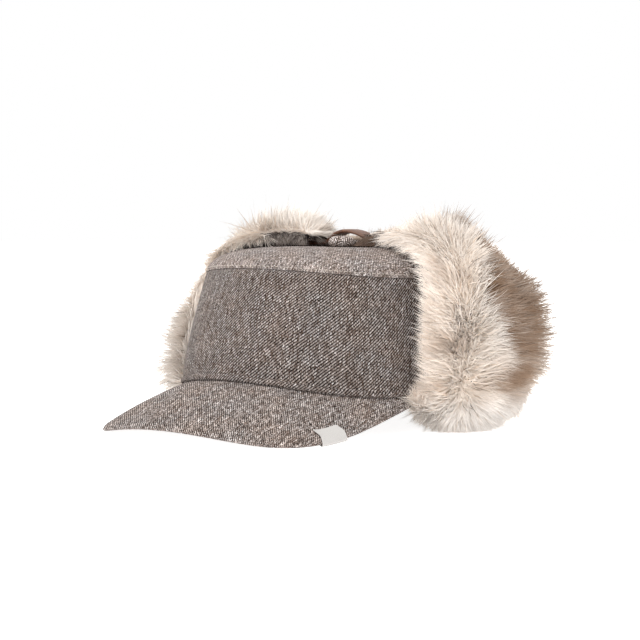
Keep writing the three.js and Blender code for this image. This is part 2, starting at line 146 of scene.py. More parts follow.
def shell(name, outer, inner, uv_out, uv_in, wrap=False, edge_uv=1.0):
    """A closed wall between two grids of points, the outer one first.

    With wrap the last row repeats the first, for the weave's sake, and the ends have no edge. edge_uv
    is the share of a wall's thickness that the map goes on for over the edges.
    """
    n, m = outer.shape[:2]
    i, j = np.meshgrid(np.arange(n - 1), np.arange(m - 1), indexing="ij")
    a = (i * m + j).reshape(-1)
    quads = [np.stack([a, a + m, a + m + 1, a + 1], 1), np.stack([a, a + 1, a + m + 1, a + m], 1) + n * m]
    points = [outer.reshape(-1, 3), inner.reshape(-1, 3)]
    uvs = [uv_out.reshape(-1, 2), uv_in.reshape(-1, 2)]
    shift = np.array([0.0, WALL]) * edge_uv
    strips = [(outer[:, -1], inner[:, -1], uv_out[:, -1], uv_out[:, -1] + shift),
              (inner[:, 0], outer[:, 0], uv_out[:, 0] - shift, uv_out[:, 0])]
    if not wrap:
        strips += [(outer[0], inner[0], uv_out[0], uv_out[0] - shift[::-1]),
                   (inner[-1], outer[-1], uv_out[-1] + shift[::-1], uv_out[-1])]
    for ring_a, ring_b, uv_a, uv_b in strips:
        k, s = len(ring_a), np.arange(len(ring_a) - 1)
        quads.append(np.stack([s, s + k, s + k + 1, s + 1], 1) + sum(len(p) for p in points))
        points += [ring_a, ring_b]
        uvs += [uv_a, uv_b]
    loops = np.concatenate(quads).reshape(-1)
    counts = np.full(len(loops) // 4, 4)
    ob = mesh_object(name, np.concatenate(points), loops, counts, np.concatenate(uvs)[loops])
    bm = bmesh.new()
    bm.from_mesh(ob.data)
    bmesh.ops.remove_doubles(bm, verts=bm.verts, dist=2e-6)
    bmesh.ops.dissolve_degenerate(bm, edges=bm.edges, dist=1e-7)
    bmesh.ops.recalc_face_normals(bm, faces=bm.faces)
    bm.to_mesh(ob.data)
    bm.free()
    return ob


def round_normals(grid):
    """Unit normals of a grid of points whose last row repeats its first."""
    d0 = np.roll(grid[:-1], -1, 0) - np.roll(grid[:-1], 1, 0)
    return unit(np.cross(np.concatenate([d0, d0[:1]]), np.gradient(grid, axis=1)))


def turns(count):
    return np.radians(np.linspace(-180, 180, count))


def arc(grid, axis):
    """Distance along one axis of a grid, from its start."""
    step = np.linalg.norm(np.diff(grid, axis=axis), axis=-1)
    start = np.zeros_like(np.take(step, [0], axis=axis))
    return np.concatenate([start, np.cumsum(step, axis=axis)], axis=axis)


# The hat's forms

def oval(t, rx, ry, cy=0.0):
    return rx * np.sin(t), cy - ry * np.cos(t)


def peak_top(x, y):
    behind = y + RIM_Y
    return PEAK_Z + PEAK_SLOPE * behind - PEAK_ARCH * x ** 2 - PEAK_DROOP * np.minimum(behind, 0) ** 2


def rim_height(t, inset=0.0):
    turn = np.abs((np.degrees(t) + 540) % 360 - 180)
    x, y = oval(np.radians(np.minimum(turn, ROOT_END)), RIM_X - inset, RIM_Y - inset)
    return peak_top(x, y)


def seam_height(y):
    ahead = np.minimum(y, 0.0)
    return SEAM_Z + 0.02 * ahead + 0.0011 * ahead * ahead


def wall_points(t, up, inset=0.0):
    lx, ly = oval(t, RIM_X - inset, RIM_Y - inset)
    hx, hy = oval(t, TOP_X - inset, TOP_Y - inset, TOP_CY)
    swell = 1 + WALL_SWELL * np.sin(np.pi * up) / RIM_X
    ty = TOP_CY - TOP_Y * np.cos(t)
    z = mix(rim_height(t, inset), seam_height(ty), up)
    return np.stack([mix(lx, hx, up) * swell, mix(ly, hy, up) * swell, z], -1)


def top_points(t, share, inset=0.0):
    """The crown's top, from its seam at share 1 to its middle at share 0."""
    rise = np.sqrt(np.maximum(1 - share ** SHOULDER, 0))
    x, y = oval(t, TOP_X - inset, TOP_Y - inset, TOP_CY)
    along = TOP_CY - TOP_Y * np.cos(t) * share
    z = mix(seam_height(along) + GAP, PLATEAU + PLATEAU_SLOPE * along, rise)
    return np.stack([x * share, TOP_CY + (y - TOP_CY) * share, z - inset * rise], -1)


def peak_edge(angle):
    ahead = PEAK_REACH * np.maximum(np.cos(angle), 1e-9) ** PEAK_SQUARE
    return np.stack([PEAK_X * np.sin(angle), -ahead], -1)


def peak_edge_normal(angle):
    d = np.radians(0.2)
    along = peak_edge(angle + d) - peak_edge(angle - d)
    return unit(np.stack([along[..., 1], -along[..., 0]], -1))


def curve_table():
    """The flap's section, 40 points to a piece, from a centripetal spline through its points."""
    p = FLAP_PATH
    ext = np.concatenate([[2 * p[0] - p[1]], p, [2 * p[-1] - p[-2]]])
    out = []
    for k in range(1, len(ext) - 2):
        p0, p1, p2, p3 = ext[k - 1:k + 3]
        steps = (p1 - p0, p2 - p1, p3 - p2)
        t0, t1, t2, t3 = np.cumsum([0.0] + [np.linalg.norm(step) ** 0.5 for step in steps])
        t = np.linspace(t1, t2, 40, endpoint=k == len(ext) - 3)[:, None]

        def between(a, b, ta, tb):
            return (tb - t) / (tb - ta) * a + (t - ta) / (tb - ta) * b
        a1, a2, a3 = between(p0, p1, t0, t1), between(p1, p2, t1, t2), between(p2, p3, t2, t3)
        out.append(between(between(a1, a2, t0, t2), between(a2, a3, t1, t3), t1, t2))
    pts = np.concatenate(out)
    run = np.concatenate([[0], np.cumsum(np.linalg.norm(np.diff(pts, axis=0), axis=1))])
    return run, pts


RUN, SECTION = curve_table()
SECTION_DIR = unit(np.gradient(SECTION, axis=0))


def rim_frame(t):
    x, y = oval(t, RIM_X, RIM_Y)
    out = unit(np.stack([x / RIM_X ** 2, y / RIM_Y ** 2], -1))
    return x, y, out


def tip_sweep(run):
    return TIP_SWEEP * smooth(run, 100, 150)


def on_flap(t, run, depth):
    """Points on a flap `depth` out from its face towards the crown, with the way out from it."""
    p, d = (np.stack([np.interp(run, RUN, table[:, k]) for k in (0, 1)], -1)
            for table in (SECTION, SECTION_DIR))
    d = unit(d)
    x, y, out = rim_frame(t)
    away = np.stack([out[..., 0] * d[..., 1], out[..., 1] * d[..., 1], -d[..., 0]], -1)
    ahead = y + out[..., 1] * p[..., 0] + tip_sweep(run)
    place = np.stack([x + out[..., 0] * p[..., 0], ahead, p[..., 1]], -1)
    return place + away * np.asarray(depth)[..., None], away


def pile_points(t, run, end, front):
    """The outside of the dense pile. front is the angle of the flap's free front edge, or None."""
    o, z = look_up(run, PILE, 1), look_up(run, PILE, 2)
    x, y, out = rim_frame(t)
    full = np.stack([x + out[..., 0] * o, y + out[..., 1] * o + tip_sweep(run), z], -1)
    thin, _ = on_flap(t, run, np.full(np.shape(run), FLAP_THICK + GAP + PILE_EDGE))
    thin[..., 2] = np.maximum(thin[..., 2], 0)

    def rounded(distance):
        return np.sqrt(1 - (1 - np.clip(distance / PILE_ROUND, 0, 1)) ** 2)
    share = rounded(end - run)
    if front is not None:
        share = share * mix(0.45, 1, rounded((t - front) * RIM_Y))
    return thin + (full - thin) * share[..., None]


def ear_end(across):
    t = mix(EAR_FRONT, SEAM, across)
    mid = (EAR_FRONT + EAR_LEAN + SEAM) / 2
    return EAR_LENGTH - 9 * np.minimum(1, np.abs(t - mid) / (SEAM - mid)) ** 4


def ear_angle(across, run):
    front = EAR_FRONT + EAR_LEAN * smooth(run, 30, 120)
    return np.radians(mix(front, SEAM, across)), np.radians(front)


def neck_end(across):
    t = mix(SEAM, 360 - SEAM, across)
    return NECK_LENGTH - 4 * np.cos(np.radians(2 * t - 360)) + 4


def ear_grid(across, up):
    end = ear_end(across)
    run = up * end
    t, front = ear_angle(across, run)
    return t, run, end, front


def neck_grid(across, up):
    end = neck_end(across)
    run = up * end
    return np.radians(mix(SEAM, 360 - SEAM, across)), run, end, None


def grid(n, m, across=(0.0, 1.0), up=(0.0, 1.0)):
    return np.meshgrid(np.linspace(*across, n), np.linspace(*up, m), indexing="ij")


# Materials

class Shader:
    """A material built from a chain of nodes, where a plain number is set on the socket itself."""

    def __init__(self, name, roughness=0.9, sheen=0.0, specular=0.2):
        self.mat = bpy.data.materials.new(name)
        self.mat.use_nodes = True
        self.tree = self.mat.node_tree
        self.bsdf = next(n for n in self.tree.nodes if n.type == "BSDF_PRINCIPLED")
        self.bsdf.inputs["Roughness"].default_value = roughness
        self.bsdf.inputs["Sheen Weight"].default_value = sheen
        self.bsdf.inputs["Specular IOR Level"].default_value = specular

    def put(self, socket, value):
        if isinstance(value, bpy.types.NodeSocket):
            self.tree.links.new(value, socket)
        else:
            socket.default_value = value

    def node(self, kind, inputs=(), **settings):
        """A new node. inputs holds values or sockets, in order or by their names."""
        node = self.tree.nodes.new(kind)
        for key, value in settings.items():
            setattr(node, key, value)
        for key, value in inputs.items() if isinstance(inputs, dict) else enumerate(inputs):
            self.put(node.inputs[key], value)
        return node

    def math(self, operation, a, b=0.0, c=0.0):
        return self.node("ShaderNodeMath", (a, b, c), operation=operation).outputs[0]

    def uv(self):
        place = self.node("ShaderNodeUVMap", uv_map="UVMap").outputs[0]
        split = self.node("ShaderNodeSeparateXYZ", (place,))
        return split.outputs[0], split.outputs[1]

    def pair(self, x, y):
        return self.node("ShaderNodeCombineXYZ", (x, y)).outputs[0]

    def noise(self, vector, scale, detail=2.0, roughness=0.5):
        return self.node("ShaderNodeTexNoise", {
            "Vector": vector, "Scale": scale, "Detail": detail, "Roughness": roughness}).outputs[0]

    def speck(self, x, y):
        place = self.pair(x, y)
        return self.node("ShaderNodeTexWhiteNoise", {"Vector": place}, noise_dimensions="2D").outputs[0]

    def ramp(self, factor, stops, constant=False):
        node = self.node("ShaderNodeValToRGB")
        ramp = node.color_ramp
        ramp.interpolation = "CONSTANT" if constant else "LINEAR"
        while len(ramp.elements) < len(stops):
            ramp.elements.new(0.5)
        for element, (at, colour) in zip(ramp.elements, stops):
            element.position = at
            element.color = (*colour, 1)
        self.put(node.inputs[0], factor)
        return node.outputs[0]

    def blend(self, factor, a, b, kind="MIX"):
        a, b = (c if isinstance(c, bpy.types.NodeSocket) else (*c, 1) for c in (a, b))
        node = self.node("ShaderNodeMix", {0: factor, 6: a, 7: b}, data_type="RGBA", blend_type=kind)
        return node.outputs[2]

    def dim(self, colour, factor):
        return self.node("ShaderNodeVectorMath", {0: colour, "Scale": factor}, operation="SCALE").outputs[0]

    def bump(self, height, distance, strength=1.0):
        node = self.node("ShaderNodeBump", {
            "Strength": strength, "Distance": distance * MM, "Height": height})
        self.put(self.bsdf.inputs["Normal"], node.outputs[0])

    def colour(self, value):
        self.put(self.bsdf.inputs["Base Color"], value)
        return self.mat


LIGHT_YARN = ((0.0, (0.50, 0.45, 0.42)), (0.3, (0.70, 0.65, 0.625)), (0.55, (0.40, 0.35, 0.32)),
              (0.75, (0.24, 0.185, 0.155)), (0.88, (0.90, 0.87, 0.85)))
DARK_YARN = ((0.0, (0.016, 0.012, 0.012)), (0.4, (0.042, 0.030, 0.027)), (0.7, (0.075, 0.055, 0.048)),
             (0.88, (0.17, 0.135, 0.12)))


def tweed(name, pitch=0.38, gain=1.0, loose=0.5, chevron=0.0, lean=1.0, stretch=1.0, soft=0.0):
    """Salt and pepper twill over a map in millimetres: pale warp over two and under two dark wefts, each yarn
    with painted shade towards its edges.

    pitch is the yarns' spacing, gain the brightness, loose the share of stray yarns, chevron the width
    in yarns of a herringbone's stripe or 0 for none, lean the way the twill's lines run, stretch how
    much longer the mottling is along the lines than across them, and soft how far the tones run together.
    """
    s = Shader(name, roughness=0.95, sheen=0.03, specular=0.08)
    u, v = s.uv()
    place = s.pair(u, v)
    x = s.math("DIVIDE", s.math("MULTIPLY_ADD", s.noise(place, 0.020, 1.0), 3.0, u), pitch)
    y = s.math("DIVIDE", s.math("MULTIPLY_ADD", s.noise(place, 0.025, 1.0), 3.0, v), pitch)
    i, j = s.math("FLOOR", x), s.math("FLOOR", y)
    side = s.math("PINGPONG", i, chevron) if chevron else i
    step = s.math("MULTIPLY_ADD", side, -lean, j)
    over = s.math("LESS_THAN", s.math("FRACT", s.math("MULTIPLY_ADD", step, 0.25, 1000.125)), 0.5)
    along_warp = s.math("FLOOR", s.math("MULTIPLY_ADD", y, 0.14, s.math("MULTIPLY", s.speck(i, 3.0), 9.0)))
    along_weft = s.math("FLOOR", s.math("MULTIPLY_ADD", x, 0.14, s.math("MULTIPLY", s.speck(7.0, j), 9.0)))
    warp = s.ramp(s.speck(i, along_warp), LIGHT_YARN, constant=True)
    weft = s.ramp(s.speck(along_weft, j), DARK_YARN, constant=True)
    # each yarn's rise from its edges to its middle, used for the bump and for the painted shade of the yarn's
    # round form
    ridge_and_shade = s.math("ADD", s.math("MULTIPLY", over, s.math("PINGPONG", x, 0.5)),
                   s.math("MULTIPLY", s.math("SUBTRACT", 1.0, over), s.math("PINGPONG", y, 0.5)))
    across = s.math("MULTIPLY_ADD", v, lean, s.math("MULTIPLY", u, -1.0))
    down = s.math("MULTIPLY_ADD", v, lean, u)
    lines = s.pair(s.math("MULTIPLY", across, 0.7), s.math("MULTIPLY", down, 0.7 / stretch))
    mottle = s.noise(lines, 0.72, 3.0, 0.7)
    patch = s.noise(place, 0.05, 2.0)
    stray = s.math("GREATER_THAN", s.math("MULTIPLY_ADD", mottle, 0.6, s.speck(i, j)), 1.36 - 0.2 * loose)
    gone = s.math("GREATER_THAN", s.math("MULTIPLY_ADD", mottle, -0.6, s.speck(j, i)), 0.76 - 0.2 * loose)
    pale = s.math("MAXIMUM", s.math("MULTIPLY", over, s.math("SUBTRACT", 1.0, gone)), stray)
    pale = s.math("MULTIPLY_ADD", pale, 1.0 - soft, 0.5 * soft)
    cloth = s.blend(pale, weft, warp)
    tint = s.ramp(mottle, ((0.33, (0.48, 0.43, 0.41)), (0.5, (0.95, 0.92, 0.91)), (0.67, (1.60, 1.57, 1.57))))
    cloth = s.blend(1.0, cloth, tint, "MULTIPLY")
    rust = s.blend(1.0, cloth, (1.05, 0.975, 0.92), "MULTIPLY")
    cloth = s.blend(s.ramp(patch, ((0.35, (0, 0, 0)), (0.7, (1, 1, 1)))), cloth, rust)
    s.bump(s.math("MULTIPLY_ADD", over, 0.3, ridge_and_shade), 0.10)
    # the colour is scaled by gain and darkened towards each yarn's edges: painted shade of the yarns' round
    # form
    return s.colour(s.dim(cloth, s.math("MULTIPLY_ADD", ridge_and_shade, 1.15 * gain, 0.36 * gain)))


def fur_material(name, through=0.22):
    """Hair in the colours painted on it, which lets part of the light through."""
    s = Shader(name, roughness=0.8, sheen=0.08, specular=0.08)
    s.bsdf.inputs["Sheen Roughness"].default_value = 0.5
    paint = s.node("ShaderNodeVertexColor", layer_name="Fur")
    place = s.node("ShaderNodeTexCoord").outputs["Object"]
    tone = s.dim(paint.outputs[0], s.math("MULTIPLY_ADD", s.noise(place, 900.0, 2.0), 0.3, 0.85))
    glow = s.node("ShaderNodeBsdfTranslucent", {"Color": tone})
    both = s.node("ShaderNodeMixShader", (through, s.bsdf.outputs[0], glow.outputs[0]))
    s.put(next(n for n in s.tree.nodes if n.type == "OUTPUT_MATERIAL").inputs["Surface"], both.outputs[0])
    return s.colour(tone)


def thread_material(name, colour):
    s = Shader(name, roughness=0.8, sheen=0.2)
    place = s.node("ShaderNodeTexCoord").outputs["Object"]
    fine = s.noise(place, 1500.0, 2.0)
    s.bump(fine, 0.06)
    return s.colour(s.ramp(fine, ((0.3, tuple(c * 0.72 for c in colour)), (0.7, colour))))


def woven_tape(name, colour):
    """Fine ribbed weave of a bare label tab, with painted shade between its ribs."""
    s = Shader(name, roughness=0.8, sheen=0.1, specular=0.25)
    u, v = s.uv()
    ribs = s.math("PINGPONG", s.math("DIVIDE", u, 0.30), 0.5)
    picks = s.math("PINGPONG", s.math("DIVIDE", v, 0.42), 0.5)
    lines = s.math("MULTIPLY", ribs, picks)
    grain = s.noise(s.pair(u, v), 1.8, 3.0)
    s.bump(lines, 0.08)
    base = s.ramp(grain, ((0.3, tuple(c * 0.86 for c in colour)), (0.7, colour)))
    # darker between the ribs and picks and lighter on their crests: painted shade of the weave's grooves
    return s.colour(s.dim(base, s.math("MULTIPLY_ADD", lines, 0.6, 0.88)))


def hide(name, colour):
    """Brown leather with a fine grain, with painted shade in the creases of its grain."""
    s = Shader(name, roughness=0.45, specular=0.5)
    u, v = s.uv()
    place = s.pair(u, v)
    cells = s.node("ShaderNodeTexVoronoi", {"Vector": place, "Scale": 1.3}, feature="DISTANCE_TO_EDGE")
    grain = s.math("MINIMUM", s.math("MULTIPLY", cells.outputs["Distance"], 5.0), 1.0)
    broad = s.noise(place, 0.35, 3.0)
    s.bump(grain, 0.10, 0.6)
    base = s.ramp(broad, ((0.3, tuple(c * 0.6 for c in colour)), (0.7, tuple(c * 1.25 for c in colour))))
    # darker towards the edges of the grain's cells: painted shade in its creases
    return s.colour(s.dim(base, s.math("MULTIPLY_ADD", grain, 0.3, 0.72)))


def finish_piece(ob, material, slot, *nodes):
    ob.data.materials.clear()
    ob.data.materials.append(material)
    if nodes:
        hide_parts(*nodes)
    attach(ob, "root")
    return ob


def sharpen(ob, degrees=50.0):
    ob.data.set_sharp_from_angle(angle=math.radians(degrees))
    return ob


# Crown and peak

def rim_arc(t):
    """Distance round the head at middle height, from the front."""
    fine = np.radians(np.linspace(-181, 181, 2000))
    x, y = oval(fine, 81, 95)
    d = np.concatenate([[0], np.cumsum(np.hypot(np.diff(x), np.diff(y)))])
    return np.interp(t, fine, d - np.interp(0, fine, d))


def make_crown():
    ups = np.concatenate([np.linspace(0, 0.94, 22), [0.96, 0.975, 0.985, 0.993, 1.0]])
    t, up = np.meshgrid(turns(181), ups, indexing="ij")
    outer = wall_points(t, up)
    normal = round_normals(outer)
    relief, tuck = 0.55, 0.7  # depth of the sewn cloth's unevenness, and of its edge turned in at the seam
    scale = 0.022
    uneven = noise(outer * scale, 3) + 0.5 * noise(outer * scale * 2.3, 4)
    within = smooth(up, 0, 0.08) * (1 - smooth(up, 0.93, 1.0))
    outer = outer + normal * (relief * uneven * within - tuck * smooth(up, 0.975, 1.0) ** 2)[..., None]
    uv = np.stack([rim_arc(t), arc(outer, 1) + 30], -1)
    return sharpen(shell("crown_cloth", outer, wall_points(t, up, WALL), uv, uv + 400, wrap=True))


def make_top():
    shares = np.concatenate([[1.0, 0.9985, 0.996, 0.99, 0.98, 0.965, 0.945, 0.92, 0.89, 0.855, 0.81, 0.76],
                             np.linspace(0.7, 0.0, 9)])
    t, share = np.meshgrid(turns(181), shares, indexing="ij")
    outer = top_points(t, share)
    tuck = 0.6 * (1 - smooth(1 - share, 0.0, 0.006)) ** 2
    outer = outer - unit(outer - np.array([0.0, TOP_CY, 60.0])) * tuck[..., None]
    keep = smooth(1 - share, 0.01, 0.1)
    plan = outer[..., :2].copy()
    outer[..., 2] += 0.5 * keep * noise(plan * 0.02, 9) + 0.2 * keep * noise(plan * 0.06, 5)
    radial = arc(outer[:, ::-1], 1)[:, ::-1]
    uv = np.stack([radial * np.sin(t), -radial * np.cos(t)], -1)
    inner = top_points(t, share, WALL)
    return sharpen(shell("crown_top_cloth", outer, inner, uv + 900, uv + 1400, wrap=True))


def make_peak():
    pieces_along = np.concatenate([np.linspace(0, 0.93, 20), [0.965, 0.985]])
    r, thick = 1.6, PEAK_THICK
    # along the peak, past its edge, and depth of the two faces
    rows = [(a, 0.0, 0.0, thick) for a in pieces_along]
    rows += [(1.0, -r, 0.0, thick), (1.0, -0.2 * r, 0.12, thick - 0.12), (1.0, 0.45 * r, 0.5, thick - 0.5),
             (1.0, 0.85 * r, 1.05, thick - 1.05), (1.0, r, 1.7, thick - 1.7)]
    u = np.linspace(-1, 1, 141)
    angle = np.radians(89.4 * np.sin(u * np.pi / 2))
    root = np.stack([(RIM_X - WALL) * np.sin(np.radians(ROOT_END * u)),
                     -(RIM_Y - WALL) * np.cos(np.radians(ROOT_END * u))], -1)
    edge, out = peak_edge(angle), peak_edge_normal(angle)

    def face(depth):
        columns = []
        for row in rows:
            p = mix(root, edge, row[0]) + out * row[1]
            z = peak_top(p[:, 0], p[:, 1]) - PEAK_SUNK - row[depth]
            columns.append(np.concatenate([p, z[:, None]], 1))
        return np.stack(columns, 1)[:, ::-1]
    top, under = face(2), face(3)
    across = arc(top[:, ::-1], 1)[:, ::-1]
    edge_row = len(rows) - 1 - len(pieces_along)

    def plan_map(surface, squeeze):
        """The plan, with the rows round the edge laid out by their distance along the cloth."""
        plan = surface[..., :2].copy()
        step = across[:, :edge_row] - across[:, [edge_row]]
        plan[:, :edge_row] = top[:, [edge_row], :2] + out[:, None] * step[..., None] * squeeze
        return plan
    top_uv, under_uv = plan_map(top, 1.0), plan_map(under, 0.98)
    ease = smooth(np.linspace(1, 0, len(rows)), 0.0, 0.2) * (1 - smooth(np.abs(u), 0.9, 1.0))[:, None]
    top[..., 2] += 0.28 * noise(top[..., :2] * 0.03, 12) * ease
    return sharpen(shell("peak_cloth", top, under, top_uv, under_uv + 700, edge_uv=0.0))


def make_hem():
    """The binding round the crown's foot, a raised band over the seam with the peak."""
    width, height = 3.3, 0.85
    t = np.radians(np.linspace(-78.6, 78.6, 200))
    base = wall_points(t, np.zeros_like(t))
    across = unit(wall_points(t, np.full_like(t, 0.06)) - base)
    out = np.concatenate([rim_frame(t)[2], np.zeros((len(t), 1))], 1)[:, None]
    s = np.linspace(-1, 1, 9)
    lift = height * np.sqrt(np.maximum(1 - np.abs(s) ** 2.5, 0))
    flat = (base + across * 1.95)[:, None] + out * 0.1 + across[:, None] * (s * width / 2)[:, None]
    uv = np.stack(np.broadcast_arrays(rim_arc(t)[:, None], 2.0 + s * width / 2), -1).copy()
    return shell("crown_hem", flat + out * lift[:, None], flat - out * 0.25, uv, uv + 50)


def capsules(name, starts, ends, radius, sides=6):
    """Short round-ended stitches, one from each start to each end."""
    along = ends - starts
    length = np.linalg.norm(along, axis=1, keepdims=True)
    along = along / length
    helper = np.where(np.abs(along[:, 2:3]) < 0.9, [[0, 0, 1.0]], [[1.0, 0, 0]])
    a = unit(np.cross(along, helper))
    b = np.cross(along, a)
    turn = np.linspace(0, 2 * np.pi, sides, endpoint=False)[None, :, None]
    round_it = a[:, None] * np.cos(turn) + b[:, None] * np.sin(turn)
    # share of the length, and of the radius
    rings = ((0.06, 0.75), (0.25, 1.0), (0.75, 1.0), (0.94, 0.75))
    pts = [(starts + along * length * share)[:, None] + radius * size * round_it for share, size in rings]
    pts = np.concatenate([starts[:, None], *pts, ends[:, None]], 1)
    last = (len(rings) - 1) * sides
    faces = []
    for k in range(sides):
        n = (k + 1) % sides
        faces.append((0, 1 + n, 1 + k))
        for c in range(1, last, sides):
            faces.append((c + k, c + n, c + sides + n, c + sides + k))
        faces.append((1 + last + k, 1 + last + n, 1 + last + sides))
    many, per = pts.shape[:2]
    loops = np.concatenate(faces)[None] + np.arange(many)[:, None] * per
    counts = np.tile([len(f) for f in faces], many)
    return mesh_object(name, pts.reshape(-1, 3), loops.reshape(-1), counts)


def make_stitches():
    """Topstitching on the top panel, just above its seam with the wall."""
    # from one stitch to the next, the share of that which a stitch takes up, and its radius
    pitch, share, radius = 3.0, 0.68, 0.17
    total = rim_arc(np.radians(180.0)) * 2
    places = np.linspace(-total / 2, total / 2, int(total / pitch), endpoint=False)
    angles = np.interp(places, rim_arc(turns(721)), turns(721))
    width = np.diff(angles).mean() * share
    row = np.full_like(angles, 0.9973)  # share of the way from the top's middle to its seam
    starts, ends = top_points(angles, row, -0.1), top_points(angles + width, row, -0.1)
    return capsules("top_seam_stitches", starts, ends, radius)


# Label, button and strap

def make_label():
    angles = np.radians(np.linspace(69.7, 78.1, 17))
    # past the edge, how far down the thickness, and which face it lies on
    folds = [(past, 0, 1) for past in (-4.8, -4.4, -3.6, -2.7, -1.8, -0.8)]
    folds += [(0.3, 0.05, 1), (1.3, 0.55, 0.7), (1.75, 1.2, 0.2), (1.8, 1.9, -0.2), (1.5, 2.6, -0.7),
              (0.4, 3.35, -1)]
    folds += [(past, PEAK_THICK, -1) for past in (-1.5, -3.5, -5.0, -6.8)]
    edge, out = peak_edge(angles), peak_edge_normal(angles)
    along = np.stack([-out[:, 1], out[:, 0]], -1)
    s = np.linspace(-1, 1, len(angles))

    def surface(lift):
        columns = []
        for past, down, way in folds:
            p = edge + out * (past + lift * (1 - abs(way))) + along * (0.35 * min(past, 0) * (way > 0))
            curl = 0.35 * np.abs(s) ** 3 * (way > 0.9) + 0.5 * (way > 0.9) * (s < 0) * np.abs(s) ** 4
            z = peak_top(p[:, 0], p[:, 1]) - PEAK_SUNK - down + way * (lift + curl)
            columns.append(np.concatenate([p, z[:, None]], 1))
        return np.stack(columns, 1)
    outer, inner = surface(0.95), surface(0.4)
    outer[..., 2] = np.maximum(outer[..., 2], 0.0)
    inner[..., 2] = np.maximum(inner[..., 2], 0.25)
    uv = np.stack([arc(outer, 0), arc(outer, 1)], -1)
    return sharpen(shell("label_cloth", outer, inner, uv, uv + 60), 60)


def make_button():
    profile = np.array([(5.2, 0.0), (6.6, 0.35), (7.5, 1.1), (8.0, 2.3), (7.95, 3.4), (7.4, 4.5), (6.4, 5.4),
                        (5.0, 6.05), (3.4, 6.4), (1.7, 6.57), (0.01, 6.6)])
    t, k = np.meshgrid(turns(49), np.arange(len(profile)), indexing="ij")

    def surface(share, lift):
        r, h = profile[k, 0] * share, profile[k, 1] * share
        return np.stack([r * np.sin(t), TOP_CY - r * np.cos(t), BUTTON_BASE + h + lift], -1)
    outer, inner = surface(1.0, 0.0), surface(0.8, 0.05)
    radial = arc(outer[:, ::-1], 1)[:, ::-1]
    uv = np.stack([radial * np.sin(t), radial * np.cos(t)], -1)
    return shell("button_cloth", outer, inner, uv + 40, uv + 90, wrap=True)


# across the cap, and height
STRAP_CREST = np.array([(-36, 107.9), (-20, 107.9), (-17, 110.2), (-13, 113.4), (-8, 115.1), (-2, 115.2),
                        (4, 114), (11, 111.2), (16, 109), (20, 107.9), (36, 107.9)], float)


def make_strap():
    """A short leather strap with rounded edges, held under the tips of the ear flaps."""
    run = np.concatenate([[0], np.cumsum(np.hypot(*np.diff(STRAP_CREST, axis=0).T))])
    s = np.linspace(0, run[-1], 90)
    crest = np.stack([np.interp(s, run, STRAP_CREST[:, 0]), np.interp(s, run, STRAP_CREST[:, 1])], -1)
    kernel = np.hanning(9) / np.hanning(9).sum()
    padded = np.concatenate([np.repeat(crest[:1], 4, 0), crest, np.repeat(crest[-1:], 4, 0)])
    x, z = (np.convolve(padded[:, k], kernel, "valid")[:, None] for k in (0, 1))
    y = np.concatenate([[STRAP_FRONT, 11.75, 12.2, 13.0], np.linspace(14.5, 21.1, 6),
                        [22.6, 23.4, 23.85, STRAP_BACK]])
    edge = np.clip(np.minimum(y - STRAP_FRONT, STRAP_BACK - y) / 1.4, 0, 1)
    swell = np.sqrt(1 - (1 - edge) ** 2)
    bow = 0.15 * np.sin(np.pi * (y - STRAP_FRONT) / (STRAP_BACK - STRAP_FRONT))
    outer = np.stack(np.broadcast_arrays(x, y, z - 1.0 + swell + bow), -1)
    inner = np.stack(np.broadcast_arrays(x, y, z - 1.2 - swell), -1)
    uv = np.stack([arc(outer, 0), arc(outer, 1)], -1)
    return sharpen(shell("strap_leather", outer, inner, uv, uv + 60), 60)


# The flaps' cloth

def make_flap(name, panel, n, m, mirror=False):
    t, run = panel(*grid(n, m))[:2]
    outer, inner = (on_flap(t, run, np.full_like(run, depth))[0] for depth in (FLAP_THICK, 0.0))
    uv = np.stack([arc(outer, 0)[:, m // 2:m // 2 + 1] + 0 * run, run], -1)
    if mirror:
        outer, inner = outer * MIRROR, inner * MIRROR
    return sharpen(shell(name, outer, inner, uv + 2000, uv + 2300))


# Fur

# tones of the hair
CREAM, CREAM_TIP, UNDER = np.array([(0.845, 0.735, 0.635), (0.90, 0.83, 0.765), (0.95, 0.865, 0.775)])
TAN, BROWN, BROWN_TIP = np.array([(0.46, 0.335, 0.245), (0.225, 0.132, 0.075), (0.15, 0.092, 0.06)])
# DARK is near black partly as the fur's own colour and partly as painted shade under the flap tips
GREY, GREY_TIP, DARK = np.array([(0.79, 0.735, 0.69), (0.87, 0.83, 0.79), (0.045, 0.034, 0.029)])


def pile_place(across, up, panel):
    """A point of the pile's surface, its way out, the cloth below it, and where that is on the flap."""
    e = 0.004

    def at(a, u):
        return pile_points(*panel(a, u))
    p = at(across, up)
    da = at(np.clip(across + e, 0, 1), up) - at(np.clip(across - e, 0, 1), up)
    du = at(across, np.clip(up + e, 0, 1)) - at(across, np.clip(up - e, 0, 1))
    n = unit(np.cross(da, du))
    t, run = panel(across, up)[:2]
    cloth, away = on_flap(t, run, np.full(np.shape(run), FLAP_THICK + GAP))
    n = n * np.sign((n * (p - cloth)).sum(-1, keepdims=True) + 1e-9)
    out = rim_frame(t)[2]
    out = np.concatenate([out, np.zeros(out.shape[:-1] + (1,))], -1)
    pressed = (run > 8.5) & (run < 13.5) & (p[..., 2] < 1)  # the fold lies flat on the floor
    n = np.where(pressed[..., None], unit(n + out * 0.8), n)
    return p, n, cloth, np.degrees(t), away


def rising(z):
    """How far the hair lies up at a height: over at the top, level at mid height, down at the foot."""
    return 1.05 * smooth(z, 88, 114) - 0.95 * (1 - smooth(z, 4, 28)) + 0.04


